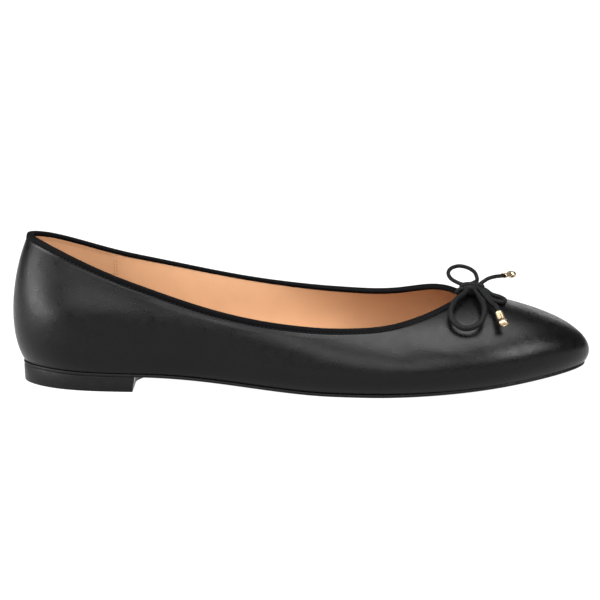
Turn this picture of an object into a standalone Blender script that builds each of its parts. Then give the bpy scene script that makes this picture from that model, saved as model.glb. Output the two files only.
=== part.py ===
"""Ballet flat for the right foot, with a bound collar and a cord bow.

The shoe stands on the floor at z = 0. +X runs from heel to toe, +Y to the inner (medial) side and +Z up.
The origin is the middle of the shoe's footprint on the floor. Sizes are in metres.

The upper is a ring of wall sections. Each section is one curve from the feather edge, where wall and sole
meet, up to the collar's edge or, over the toes, back across the vamp to the throat.
"""

import math

import bmesh
import bpy
import numpy as np
from mathutils import Vector

# Driving sizes
LENGTH = 0.2550             # heel's back to toe tip, over the upper
BALL_WIDTH = 0.0800         # across the upper at the ball
COLLAR_HEIGHT = 0.0545      # seat line up to the upper's edge at the heel's back
HEEL_HEIGHT = 0.0066        # floor to the outsole's underside at the heel
SEAT_RISE = 0.0012          # how much higher the seat is at the heel's back than at its breast
SOLE_THICKNESS = 0.0013
TOE_SPRING = 0.0070         # lift of the outsole at the toe tip
SPRING_BEND = 1.7           # 1 lifts the toe along a straight line, and more keeps the lift near the tip
RISE_BEND = 1.5             # the same for the seat's rise
UPPER_WALL = 0.0018         # leather, lining and glue
INSOLE_THICKNESS = 0.0024
SEAM_GAP = 0.0003           # clearance between pieces that are glued or sewn in the real shoe

# Outsole and heel
SOLE_REVEAL = 0.0004        # how far the sole's edge stands out from the feather edge
SOLE_BEVEL = 0.0005         # how far the sole's lower edge draws in
BEVEL_SHARE = 0.55          # share of the sole's thickness that its bevel takes
INSOLE_CLEARANCE = 0.0008   # insole's rim to the wall round it
HEEL_LENGTH = 0.0502        # outsole's back to the heel's breast, along the outer side
HEEL_TAPER = 0.0003         # how far the heel draws in towards the floor
BREAST_RAKE = 0.0010        # how far the heel's breast leans forward at the top
BREAST_SKEW = 0.0065        # how far the inner breast corner lies ahead of the outer one

# Collar binding
BINDING_HEIGHT = 0.0031
BINDING_THICKNESS = 0.0027
BINDING_SQUARENESS = 3.0    # 2 is an ellipse, and more is closer to a rectangle

# Bow, tied from one cord
CORD_WIDTH = 0.0020
BOW_FORWARD = 0.0008        # the bow's middle, ahead of the throat's edge
BOW_LIFT = 0.0030           # and above it
BOW_UNIT = 0.0023           # the unit of the cord's paths
KNOT_LENGTH = 0.0100
KNOT_WIDTH = 0.0048
KNOT_HEIGHT = 0.0045
KNOT_SQUARENESS = 3.2       # 2 is an ellipsoid, and more is closer to a box
KNOT_FORWARD = 0.0016       # the knot's middle, ahead of the bow's
KNOT_LIFT = 0.0002          # and above it
TIP_LENGTH = 0.0086         # metal tip of a cord end
TIP_DIAMETER = 0.0044       # at its flared rim
TIP_FLATNESS = 0.72         # thickness of a pressed tip, as a share of its width

# The seat line is the outsole's top, in shares of LENGTH from the heel's back: a little down along the heel,
# down through the waist, level at the tread and up to the toe.
WAIST_START, TREAD_START, TREAD_END = 0.22, 0.56, 0.62

# One row for each wall section, from the heel's back along the outer side to the toe tip and back along the
# inner side. foot and edge are the section's two ends: x in shares of LENGTH, y in shares of BALL_WIDTH, and
# edge_z above the seat line in shares of COLLAR_HEIGHT. The last four columns bend the wall between them,
# in shares of the straight distance from foot to edge: how far it swells out and rises from the foot, and
# how far it comes out and down from the edge.
WALL_COLUMNS = ("foot_x", "foot_y", "edge_x", "edge_y", "edge_z", "low_out", "low_up", "top_out", "top_down")
WALL_SECTIONS = {
    "heel_back":         (0.0205, 0.000, 0.0275, 0.000, 0.995, 0.134, 0.220, 0.134, 0.330),
    "heel_outer_corner": (0.0520, -0.178, 0.0520, -0.144, 0.969, 0.150, 0.220, 0.110, 0.330),
    "heel_outer":        (0.1647, -0.318, 0.1569, -0.300, 0.788, 0.140, 0.240, 0.060, 0.330),
    "waist_outer":       (0.3451, -0.338, 0.3451, -0.356, 0.521, 0.200, 0.260, 0.020, 0.330),
    "arch_outer":        (0.5020, -0.400, 0.5020, -0.400, 0.470, 0.250, 0.280, 0.120, 0.300),
    "ball_outer":        (0.6471, -0.456, 0.6392, -0.381, 0.482, 0.270, 0.280, 0.340, 0.300),
    "tread_outer":       (0.7843, -0.419, 0.7216, -0.275, 0.554, 0.220, 0.270, 0.480, 0.220),
    "toe_outer":         (0.9137, -0.256, 0.7725, -0.131, 0.616, 0.170, 0.230, 0.570, 0.138),
    "toe_tip":           (0.9990, 0.031, 0.7922, 0.012, 0.644, 0.138, 0.188, 0.610, 0.078),
    "toe_inner":         (0.9373, 0.250, 0.7765, 0.138, 0.659, 0.170, 0.230, 0.570, 0.145),
    "tread_inner":       (0.8353, 0.381, 0.7373, 0.244, 0.661, 0.220, 0.270, 0.480, 0.220),
    "ball_inner":        (0.7137, 0.431, 0.6667, 0.325, 0.606, 0.270, 0.280, 0.360, 0.300),
    "arch_inner":        (0.5686, 0.356, 0.5412, 0.356, 0.604, 0.250, 0.280, 0.140, 0.300),
    "waist_inner":       (0.4118, 0.269, 0.3922, 0.331, 0.631, 0.220, 0.280, -0.020, 0.330),
    "heel_inner":        (0.1882, 0.300, 0.1725, 0.288, 0.796, 0.150, 0.250, 0.060, 0.330),
    "heel_inner_corner": (0.0530, 0.178, 0.0520, 0.138, 0.969, 0.150, 0.220, 0.110, 0.330),
}
TOE_TIP_ROW = list(WALL_SECTIONS).index("toe_tip")

# Paths of the bow's cord, a row for each point: forward, inward and up from the bow's middle, in BOW_UNIT.
BOW_PATHS = {
    "bow_loop_lateral": (
        (-0.46, -1.30, 0.02),
        (-1.30, -3.04, -0.50),
        (-2.85, -5.65, -1.05),
        (-3.95, -8.70, -2.05),
        (-4.12, -10.80, -3.20),
        (-3.50, -12.20, -4.25),
        (-2.15, -13.00, -5.02),
        (-0.60, -13.00, -5.02),
        (1.15, -12.20, -4.25),
        (2.05, -10.40, -3.07),
        (2.25, -8.26, -2.00),
        (1.85, -5.43, -1.22),
        (1.25, -2.83, -0.45),
        (0.85, -1.30, 0.05),
    ),
    "bow_loop_medial": (
        (-1.10, 1.32, 0.40),
        (-2.10, 2.17, 0.60),
        (-3.40, 3.91, 1.10),
        (-3.80, 6.30, 1.80),
        (-2.95, 8.70, 2.32),
        (-1.40, 9.83, 2.48),
        (0.09, 9.48, 2.23),
        (1.22, 7.96, 1.80),
        (1.65, 5.43, 1.28),
        (1.45, 2.61, 0.86),
        (0.40, 1.32, 0.48),
    ),
    "bow_loop_toe": (
        (3.00, 0.42, -0.50),
        (4.20, 0.45, -1.35),
        (5.65, 0.10, -1.75),
        (6.58, -1.15, -2.05),
        (6.30, -2.60, -2.20),
        (5.15, -3.05, -2.05),
        (3.80, -2.15, -1.60),
        (2.90, -0.70, -0.60),
    ),
    "bow_end_lateral": (
        (2.00, -1.40, -0.10),
        (2.78, -3.48, -0.93),
        (3.90, -5.87, -1.87),
        (4.62, -7.60, -2.25),
        (4.95, -8.75, -2.85),
    ),
    "bow_end_medial": (
        (2.10, 1.40, 0.55),
        (3.60, 2.75, 1.28),
        (5.15, 4.35, 1.42),
        (6.20, 5.80, 1.25),
        (6.95, 6.85, 1.15),
    ),
}

# Outline of a cord's metal tip: distance from its neck in shares of TIP_LENGTH, and radius in shares of
# TIP_DIAMETER.
TIP_OUTLINE = (
    (0.00, 0.00),
    (0.00, 0.32),
    (0.03, 0.38),
    (0.10, 0.39),
    (0.45, 0.34),
    (0.60, 0.34),
    (0.72, 0.45),
    (0.80, 0.50),
    (0.92, 0.47),
    (0.98, 0.34),
    (1.00, 0.00),
)

# Fineness of the solids
STEPS_PER_SECTION = 5       # wall sections drawn between two rows
WALL_STEPS = 11             # faces up the wall
SLAB_RIBS = 18              # cross lines of a sole or insole behind the tread, and again before it
EDGE_SAMPLES = 40           # points tried along a section when the shoe's box is looked for
CORD_POINTS = 18            # points along a cord, before its own length is looked at
CORD_PITCH = 1.7            # cord widths between two points
CURVE_STEPS = 24            # points tried between two rows of a path
BINDING_SIDES = 8
TIP_SIDES = 16
KNOT_SIDES = 16
MERGE_DISTANCE = 0.00001    # points of a turned piece's axis closer than this become one
CREASE_DEGREES = 40.0       # edges sharper than this stay sharp when the faces are shaded smooth

# Colours as seen in the photograph, linear RGB, with roughness and metallic
FINISHES = {
    "leather": ((0.012, 0.012, 0.013), 0.42, 0.0),
    "binding": ((0.006, 0.006, 0.007), 0.60, 0.0),
    "sole": ((0.010, 0.010, 0.010), 0.50, 0.0),
    "insole": ((0.60, 0.34, 0.20), 0.55, 0.0),
    "cord": ((0.009, 0.009, 0.010), 0.62, 0.0),
    "metal": ((0.83, 0.60, 0.30), 0.22, 1.0),
}


def smooth_step(share):
    """0 up to 1 with level ends."""
    share = np.clip(share, 0.0, 1.0)
    return share * share * (3.0 - 2.0 * share)


def seat_height(x):
    """Height of the outsole's top at a distance x from the heel's back."""
    along = np.asarray(x) / LENGTH
    heel = HEEL_HEIGHT * (1.0 - smooth_step((along - WAIST_START) / (TREAD_START - WAIST_START)))
    back = SEAT_RISE * np.clip(1.0 - along / WAIST_START, 0.0, None) ** RISE_BEND
    toe = TOE_SPRING * (np.clip(along - TREAD_END, 0.0, None) / (1.0 - TREAD_END)) ** SPRING_BEND
    return SOLE_THICKNESS + heel + back + toe


def closed_spline(knots, values, at):
    """A curve that is smooth to its second derivative, through values at knots, and closes on itself.

    knots has one more entry than values: the last is where the first value comes again. The second
    derivatives solve the usual ring of three-term equations.
    """
    count = len(values)
    step = np.diff(knots)[:, None]
    rise = (np.roll(values, -1, axis=0) - values) / step
    system = np.zeros((count, count))
    for row in range(count):
        before = (row - 1) % count
        after = (row + 1) % count
        system[row, before] += step[before, 0]
        system[row, row] += 2.0 * (step[before, 0] + step[row, 0])
        system[row, after] += step[row, 0]
    bend = np.linalg.solve(system, 6.0 * (rise - np.roll(rise, 1, axis=0)))
    row = np.clip(np.searchsorted(knots, at, side="right") - 1, 0, count - 1)
    after = (row + 1) % count
    width = step[row]
    right = (np.asarray(at) - knots[row])[:, None] / width
    left = 1.0 - right
    return (
        left * values[row]
        + right * values[after]
        + width ** 2 / 6.0 * ((left ** 3 - left) * bend[row] + (right ** 3 - right) * bend[after])
    )


def open_spline(rows, count):
    """count points, evenly apart, on the smooth curve through the rows (centripetal Catmull-Rom)."""
    ends = np.concatenate([[2.0 * rows[0] - rows[1]], rows, [2.0 * rows[-1] - rows[-2]]])
    knots = np.concatenate([[0.0], np.cumsum(np.sqrt(np.linalg.norm(np.diff(ends, axis=0), axis=1)))])
    fine = []
    for k in range(1, len(ends) - 2):
        t = np.linspace(knots[k], knots[k + 1], CURVE_STEPS, endpoint=False)[:, None]
        near = [blend(ends[j], ends[j + 1], knots[j], knots[j + 1], t) for j in (k - 1, k, k + 1)]
        wide = [blend(near[j], near[j + 1], knots[k - 1 + j], knots[k + 1 + j], t) for j in (0, 1)]
        fine.append(blend(wide[0], wide[1], knots[k], knots[k + 1], t))
    fine = np.concatenate([*fine, rows[-1:]])
    run = np.concatenate([[0.0], np.cumsum(np.linalg.norm(np.diff(fine, axis=0), axis=1))])
    at = np.linspace(0.0, run[-1], count)
    return np.stack([np.interp(at, run, fine[:, axis]) for axis in range(3)], axis=1)


def blend(first, second, start, end, at):
    """Straight-line blend from first at start to second at end."""
    return (first * (end - at) + second * (at - start)) / (end - start)


def outward(loop):
    """Level unit normals, pointing outwards, of a closed loop that runs anticlockwise seen from above."""
    along = np.roll(loop, -1, axis=0) - np.roll(loop, 1, axis=0)
    normal = np.stack([along[:, 1], -along[:, 0], np.zeros(len(loop))], axis=1)
    return normal / np.linalg.norm(normal, axis=1, keepdims=True)


def wall_frames(steps):
    """Ends and bend handles of the wall, steps sections to each row of the table.

    Returns four arrays of points, the control points of each section's cubic Bezier curve.
    """
    table = np.array(list(WALL_SECTIONS.values()))
    scale = np.array([LENGTH, BALL_WIDTH, LENGTH, BALL_WIDTH, COLLAR_HEIGHT, 1.0, 1.0, 1.0, 1.0])
    table = table * scale
    apart = np.roll(table, -1, axis=0) - table
    chord = np.hypot(apart[:, 0], apart[:, 1]) + np.hypot(apart[:, 2], apart[:, 3])
    knots = np.concatenate([[0.0], np.cumsum(chord)])
    count = len(table) * steps
    at = np.interp(np.arange(count) / steps, np.arange(len(table) + 1), knots)
    drawn = dict(zip(WALL_COLUMNS, closed_spline(knots, table, at).T))
    foot = np.stack([drawn["foot_x"], drawn["foot_y"], seat_height(drawn["foot_x"]) + SEAM_GAP], axis=1)
    edge = np.stack([drawn["edge_x"], drawn["edge_y"], seat_height(drawn["edge_x"]) + drawn["edge_z"]], axis=1)
    reach = np.linalg.norm(edge - foot, axis=1, keepdims=True)
    up = np.array([0.0, 0.0, 1.0])
    low = foot + reach * (drawn["low_out"][:, None] * outward(foot) + drawn["low_up"][:, None] * up)
    high = edge + reach * (drawn["top_out"][:, None] * outward(edge) - drawn["top_down"][:, None] * up)
    return foot, low, high, edge


def wall_surface(steps, shares):
    """Points of the upper's outer face: one row for each section, one column for each share of the way up."""
    foot, low, high, edge = (points[:, None, :] for points in wall_frames(steps))
    t = np.asarray(shares)[None, :, None]
    s = 1.0 - t
    return s ** 3 * foot + 3.0 * s * s * t * low + 3.0 * s * t * t * high + t ** 3 * edge


def wall_normals(surface):
    """Unit normals of a wall surface, pointing out of the shoe."""
    around = np.roll(surface, -1, axis=0) - np.roll(surface, 1, axis=0)
    upward = np.gradient(surface, axis=1)
    normal = np.cross(around, upward)
    return normal / np.linalg.norm(normal, axis=2, keepdims=True)


def footprint_centre():
    """Middle of the shoe seen from above, which becomes the origin."""
    surface = wall_surface(STEPS_PER_SECTION, np.linspace(0.0, 1.0, EDGE_SAMPLES))
    lowest = surface.min(axis=(0, 1))
    highest = surface.max(axis=(0, 1))
    middle = (lowest + highest) / 2.0
    return np.array([middle[0], middle[1], 0.0])


def make_mesh(name, points, faces, finish):
    """Object of the given points and faces, moved so that the footprint's middle is the origin."""
    mesh = bpy.data.meshes.new(name)
    mesh.from_pydata([tuple(p) for p in points - CENTRE], [], faces)
    mesh.update()
    return add_object(name, mesh, finish)


def add_object(name, data, finish):
    """Object in the shoe's collection, with its material."""
    thing = bpy.data.objects.new(name, data)
    data.materials.append(MATERIALS[finish])
    SHOE.objects.link(thing)
    return thing


def shade_round(thing):
    """Smooth shading, with the sharp edges kept."""
    thing.data.shade_smooth()
    thing.data.set_sharp_from_angle(angle=math.radians(CREASE_DEGREES))


def make_material(name):
    """Principled material from the table of finishes."""
    colour, roughness, metallic = FINISHES[name]
    material = bpy.data.materials.new(name)
    material.use_nodes = True
    shader = material.node_tree.nodes["Principled BSDF"]
    shader.inputs["Base Color"].default_value = (*colour, 1.0)
    shader.inputs["Roughness"].default_value = roughness
    shader.inputs["Metallic"].default_value = metallic
    return material


def wall_faces():
    """The upper's outer and inner faces as two grids of points, section by section from the feather edge up."""
    outer = wall_surface(STEPS_PER_SECTION, np.linspace(0.0, 1.0, WALL_STEPS + 1))
    return outer, outer - wall_normals(outer) * UPPER_WALL


def build_upper():
    """The upper: vamp and quarters in one wall, open at the collar and underneath."""
    outer, _ = wall_faces()
    around, up, _ = outer.shape
    faces = []
    for i in range(around):
        j = (i + 1) % around
        for k in range(up - 1):
            faces.append((i * up + k, j * up + k, j * up + k + 1, i * up + k + 1))
    upper = make_mesh("upper", outer.reshape(-1, 3), faces, "leather")
    wall = upper.modifiers.new("wall", "SOLIDIFY")
    wall.thickness = UPPER_WALL
    wall.offset = -1.0
    wall.use_even_offset = True
    shade_round(upper)


def build_binding():
    """The binding: a rounded strip that runs round the collar on the upper's edge."""
    outer, inner = wall_faces()
    middle = (outer[:, -1] + inner[:, -1]) / 2.0
    rise = middle - (outer[:, -2] + inner[:, -2]) / 2.0
    rise /= np.linalg.norm(rise, axis=1, keepdims=True)
    out = outer[:, -1] - middle
    out /= np.linalg.norm(out, axis=1, keepdims=True)
    middle = middle + rise * (SEAM_GAP + BINDING_HEIGHT / 2.0)
    section = rounded_section(BINDING_THICKNESS / 2.0, BINDING_HEIGHT / 2.0)
    across = section[None, :, :1] * out[:, None, :]
    upward = section[None, :, 1:] * rise[:, None, :]
    sections = middle[:, None, :] + across + upward
    around, sides, _ = sections.shape
    faces = []
    for i in range(around):
        j = (i + 1) % around
        for k in range(sides):
            m = (k + 1) % sides
            faces.append((i * sides + k, j * sides + k, j * sides + m, i * sides + m))
    binding = make_mesh("topline_binding", sections.reshape(-1, 3), faces, "binding")
    shade_round(binding)


def rounded_section(half_width, half_height):
    """Points of a superellipse, which is a rectangle with well rounded corners."""
    angle = (np.arange(BINDING_SIDES) + 0.5) * 2.0 * math.pi / BINDING_SIDES
    cosine, sine = np.cos(angle), np.sin(angle)
    x = half_width * np.sign(cosine) * np.abs(cosine) ** (2.0 / BINDING_SQUARENESS)
    y = half_height * np.sign(sine) * np.abs(sine) ** (2.0 / BINDING_SQUARENESS)
    return np.stack([x, y], axis=1)


def inner_loop(height, clearance):
    """Plan of the upper's inside at a height above the seat line, drawn in by a clearance."""
    outer, inner = wall_faces()
    inside = inner - wall_normals(outer) * clearance
    above = inside[:, :, 2] - seat_height(inside[:, :, 0])
    # The lower half of the wall always rises, and the vamp's upper half may come down again.
    lower = slice(0, WALL_STEPS // 2)
    rows = zip(above[:, lower], inside[:, lower, 0], inside[:, lower, 1])
    return np.array([(np.interp(height, z, x), np.interp(height, z, y)) for z, x, y in rows])


def offset_loop(loop, distance):
    """A plan loop moved outwards by a distance."""
    flat = np.column_stack([loop, np.zeros(len(loop))])
    return loop + distance * outward(flat)[:, :2]


def feather_loop():
    """Plan of the feather edge."""
    foot = wall_frames(STEPS_PER_SECTION)[0]
    return foot[:, :2]


def rib_stations(start, end, front):
    """x of the ribs of a slab, closer together at its round ends, with the level tread between two of them."""
    share = np.linspace(0.0, math.pi / 2.0, SLAB_RIBS + 1)
    if front is not None:
        return start + (front - start) * (1.0 - np.cos(share))
    tread = (TREAD_START * LENGTH, TREAD_END * LENGTH)
    back = start + (tread[0] - start) * (1.0 - np.cos(share))
    return np.concatenate([back, tread[1] + (end - tread[1]) * np.sin(share)])


def ribbed_loop(loop, front=None):
    """A plan loop drawn again as ribs across the shoe: x, outer y and inner y of each.

    With front given, the last rib lies there, else at the tip.
    """
    back = int(np.argmin(loop[:, 0]))
    turned = np.roll(loop, -back, axis=0)
    tip = int(np.argmax(turned[:, 0]))
    outer = turned[: tip + 1]
    inner = np.concatenate([turned[tip:], turned[:1]])[::-1]
    x = rib_stations(outer[0, 0], outer[-1, 0], front)
    return x, np.interp(x, outer[:, 0], outer[:, 1]), np.interp(x, inner[:, 0], inner[:, 1])


def build_slab(name, rings, finish, breast=None):
    """A solid between plan rings, each given as (ribs, height), from the lowest ring to the highest.

    ribs come from ribbed_loop and height is a function of x. breast moves the last rib's inner end forward,
    for a heel whose front is cut across.
    """
    points = []
    closed_tip = breast is None
    for (x, outer, inner), height in rings:
        lateral = np.stack([x, outer, height(x)], axis=1)
        inner_x = x.copy()
        if not closed_tip:
            inner_x[-1] += breast
        medial = np.stack([inner_x, inner, height(inner_x)], axis=1)
        medial = medial[1:-1] if closed_tip else medial[1:]
        points.append(np.concatenate([lateral, medial[::-1]]))
    size = len(points[0])
    ribs = len(rings[0][0][0]) - 1
    faces = []
    for ring in range(len(rings) - 1):
        low, high = ring * size, (ring + 1) * size
        for k in range(size):
            m = (k + 1) % size
            faces.append((low + k, low + m, high + m, high + k))
    top = (len(rings) - 1) * size
    for k in range(ribs):
        # Ring positions of the rib's outer end, the next one's, and their partners on the inner side.
        corners = [k, k + 1, (size - k - 1) % size, (size - k) % size]
        if closed_tip and k == ribs - 1:
            corners = [k, k + 1, size - k]
        elif k == 0:
            corners = [0, 1, size - 1]
        faces.append(tuple(top + c for c in corners))
        faces.append(tuple(reversed(corners)))
    slab = make_mesh(name, np.concatenate(points), faces, finish)
    tidy = bmesh.new()
    tidy.from_mesh(slab.data)
    bmesh.ops.recalc_face_normals(tidy, faces=tidy.faces)
    tidy.to_mesh(slab.data)
    tidy.free()
    shade_round(slab)


def build_outsole():
    """The outsole: one thin layer from heel to toe, its lower edge bevelled."""
    edge = offset_loop(feather_loop(), SOLE_REVEAL)
    full = ribbed_loop(edge)
    drawn_in = ribbed_loop(offset_loop(edge, -SOLE_BEVEL))
    rings = [
        (drawn_in, lambda x: seat_height(x) - SOLE_THICKNESS),
        (full, lambda x: seat_height(x) - SOLE_THICKNESS * (1.0 - BEVEL_SHARE)),
        (full, lambda x: seat_height(x)),
    ]
    build_slab("outsole", rings, "sole")


def build_heel():
    """The heel: a low block under the outsole's back, tapered a little towards the floor."""
    plan = offset_loop(feather_loop(), SOLE_REVEAL - SOLE_BEVEL)
    back = plan[:, 0].min()
    breast = back + HEEL_LENGTH
    seat = ribbed_loop(plan, breast + BREAST_RAKE)
    floor = ribbed_loop(offset_loop(plan, -HEEL_TAPER), breast)
    rings = [
        (floor, np.zeros_like),
        (seat, lambda x: seat_height(x) - SOLE_THICKNESS - SEAM_GAP),
    ]
    build_slab("heel", rings, "sole", breast=BREAST_SKEW)


def build_insole():
    """The insole: a board with its sock, lying on the outsole inside the upper."""
    rings = [
        (ribbed_loop(inner_loop(level, INSOLE_CLEARANCE)), lambda x, level=level: seat_height(x) + level)
        for level in (SEAM_GAP, SEAM_GAP + INSOLE_THICKNESS)
    ]
    build_slab("insole", rings, "insole")


def bow_middle():
    """Middle of the bow, over the throat."""
    edge = wall_frames(STEPS_PER_SECTION)[3]
    throat = edge[TOE_TIP_ROW * STEPS_PER_SECTION]
    return np.array([throat[0] + BOW_FORWARD, 0.0, throat[2] + BOW_LIFT])


def build_knot():
    """The knot: a bar with rounded corners, lying along the shoe over the throat."""
    mesh = bpy.data.meshes.new("bow_knot")
    ball = bmesh.new()
    bmesh.ops.create_uvsphere(ball, u_segments=KNOT_SIDES, v_segments=KNOT_SIDES // 2, radius=1.0)
    half = (KNOT_LENGTH / 2.0, KNOT_WIDTH / 2.0, KNOT_HEIGHT / 2.0)
    for corner in ball.verts:
        # The ball's poles come to lie along the shoe, and each direction is squared off.
        turned = (corner.co.z, corner.co.x, corner.co.y)
        size = sum(abs(part) ** KNOT_SQUARENESS for part in turned) ** (1.0 / KNOT_SQUARENESS)
        corner.co = [reach * part / size for reach, part in zip(half, turned)]
    ball.to_mesh(mesh)
    ball.free()
    knot = add_object("bow_knot", mesh, "cord")
    knot.location = Vector(bow_middle() + (KNOT_FORWARD, 0.0, KNOT_LIFT) - CENTRE)
    shade_round(knot)


def cord_points(name):
    """Points of a cord's centre line, close enough together for its bends."""
    rows = np.array(BOW_PATHS[name]) * BOW_UNIT + bow_middle()
    rough = open_spline(rows, CORD_POINTS)
    length = np.linalg.norm(np.diff(rough, axis=0), axis=1).sum()
    return open_spline(rows, round(length / (CORD_PITCH * CORD_WIDTH)) + 1)


def build_cord(name):
    """A length of the bow's cord, round, with flat ends."""
    points = cord_points(name) - CENTRE
    curve = bpy.data.curves.new(name, "CURVE")
    curve.dimensions = "3D"
    curve.bevel_depth = CORD_WIDTH / 2.0
    curve.bevel_resolution = 2
    curve.use_fill_caps = True
    line = curve.splines.new("POLY")
    line.points.add(len(points) - 1)
    for target, point in zip(line.points, points):
        target.co = (*point, 1.0)
    add_object(name, curve, "cord")


def build_tip(name, cord):
    """The metal tip of a cord end: a turned piece with a flared rim, pressed flat, in line with the cord's end."""
    points = cord_points(cord) - CENTRE
    axis = Vector(points[-1] - points[-2]).normalized()
    profile = [(radius * TIP_DIAMETER, 0.0, -along * TIP_LENGTH) for along, radius in TIP_OUTLINE]
    edges = [(k, k + 1) for k in range(len(profile) - 1)]
    mesh = bpy.data.meshes.new(name)
    mesh.from_pydata(profile, edges, [])
    tip = add_object(name, mesh, "metal")
    tip.location = Vector(points[-1]) + axis * SEAM_GAP
    tip.rotation_mode = "QUATERNION"
    tip.rotation_quaternion = axis.to_track_quat("-Z", "Y")
    tip.scale = (1.0, TIP_FLATNESS, 1.0)
    turn = tip.modifiers.new("turn", "SCREW")
    turn.steps = TIP_SIDES
    turn.render_steps = TIP_SIDES
    turn.use_merge_vertices = True
    turn.merge_threshold = MERGE_DISTANCE


for old in list(bpy.data.objects):
    bpy.data.objects.remove(old)
SHOE = bpy.data.collections.new("ballet_flat")
bpy.context.scene.collection.children.link(SHOE)
MATERIALS = {name: make_material(name) for name in FINISHES}
CENTRE = footprint_centre()

build_outsole()
build_heel()
build_insole()
build_upper()
build_binding()
build_knot()
for cord_name in BOW_PATHS:
    build_cord(cord_name)
build_tip("aglet_lateral", "bow_end_lateral")
build_tip("aglet_medial", "bow_end_medial")
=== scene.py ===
import math

import bmesh
import bpy
import numpy as np
from bpy.props import FloatProperty, FloatVectorProperty, PointerProperty
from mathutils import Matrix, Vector


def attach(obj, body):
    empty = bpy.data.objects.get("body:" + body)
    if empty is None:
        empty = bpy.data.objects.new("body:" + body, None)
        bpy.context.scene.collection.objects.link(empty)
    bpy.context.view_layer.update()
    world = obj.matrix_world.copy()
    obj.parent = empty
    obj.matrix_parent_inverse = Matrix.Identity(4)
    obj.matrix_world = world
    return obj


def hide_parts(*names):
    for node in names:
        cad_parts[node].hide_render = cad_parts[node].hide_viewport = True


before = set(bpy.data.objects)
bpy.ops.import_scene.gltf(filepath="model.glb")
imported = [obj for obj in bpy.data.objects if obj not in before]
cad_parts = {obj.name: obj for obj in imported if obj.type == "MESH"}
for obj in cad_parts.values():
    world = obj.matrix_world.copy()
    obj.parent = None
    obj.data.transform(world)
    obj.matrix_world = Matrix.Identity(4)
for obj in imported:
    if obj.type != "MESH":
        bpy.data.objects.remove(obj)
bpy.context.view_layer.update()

bl_info = {
    "name": "Ballet flat",
    "version": (1, 0, 0),
    "blender": (4, 5, 0),
    "location": "3D View > Sidebar > Ballet flat",
    "description": "Leather ballet flat with a bound collar and a cord bow, dressed round its solids",
    "category": "Add Mesh",
}

# The shoe's driving sizes and wall table, as in the part's source. x is measured from the heel's back.
LENGTH = 0.2550
BALL_WIDTH = 0.0800
COLLAR_HEIGHT = 0.0545
HEEL_HEIGHT = 0.0066
SEAT_RISE = 0.0012
SOLE_THICKNESS = 0.0013
TOE_SPRING = 0.0070
SPRING_BEND = 1.7
RISE_BEND = 1.5
UPPER_WALL = 0.0018
INSOLE_THICKNESS = 0.0024
SEAM_GAP = 0.0003
SOLE_REVEAL = 0.0004
SOLE_BEVEL = 0.0005
HEEL_LENGTH = 0.0502
HEEL_TAPER = 0.0003
BREAST_RAKE = 0.0010
BREAST_SKEW = 0.0065
BINDING_HEIGHT = 0.0031
BINDING_THICKNESS = 0.0027
CORD_WIDTH = 0.0020
BOW_FORWARD = 0.0008
BOW_LIFT = 0.0030
BOW_UNIT = 0.0023
TIP_LENGTH = 0.0086
TIP_DIAMETER = 0.0044
NECK_FLATNESS = 0.62
TIP_FLATNESS = 0.72
STEP_START, STEP_SPAN = 0.38, 0.37      # where the breast steps forward, as shares of the heel's width
WAIST_START, TREAD_START, TREAD_END = 0.22, 0.56, 0.62

# foot x and y, edge x, y and z, low out and up, top out and down
WALL_ROWS = np.array([
    (0.0205, 0.000, 0.0275, 0.000, 0.995, 0.134, 0.220, 0.134, 0.330),
    (0.0520, -0.178, 0.0520, -0.144, 0.969, 0.150, 0.220, 0.110, 0.330),
    (0.1647, -0.318, 0.1569, -0.300, 0.788, 0.140, 0.240, 0.060, 0.330),
    (0.3451, -0.338, 0.3451, -0.356, 0.521, 0.200, 0.260, 0.020, 0.330),
    (0.5020, -0.400, 0.5020, -0.400, 0.470, 0.250, 0.280, 0.120, 0.300),
    (0.6471, -0.456, 0.6392, -0.381, 0.482, 0.270, 0.280, 0.340, 0.300),
    (0.7843, -0.419, 0.7216, -0.275, 0.554, 0.220, 0.270, 0.480, 0.220),
    (0.9137, -0.256, 0.7725, -0.131, 0.616, 0.170, 0.230, 0.570, 0.138),
    (0.9990, 0.031, 0.7922, 0.012, 0.644, 0.138, 0.188, 0.610, 0.078),
    (0.9373, 0.250, 0.7765, 0.138, 0.659, 0.170, 0.230, 0.570, 0.145),
    (0.8353, 0.381, 0.7373, 0.244, 0.661, 0.220, 0.270, 0.480, 0.220),
    (0.7137, 0.431, 0.6667, 0.325, 0.606, 0.270, 0.280, 0.360, 0.300),
    (0.5686, 0.356, 0.5412, 0.356, 0.604, 0.250, 0.280, 0.140, 0.300),
    (0.4118, 0.269, 0.3922, 0.331, 0.631, 0.220, 0.280, -0.020, 0.330),
    (0.1882, 0.300, 0.1725, 0.288, 0.796, 0.150, 0.250, 0.060, 0.330),
    (0.0530, 0.178, 0.0520, 0.138, 0.969, 0.150, 0.220, 0.110, 0.330),
])
TOE_TIP_ROW = 8

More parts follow.
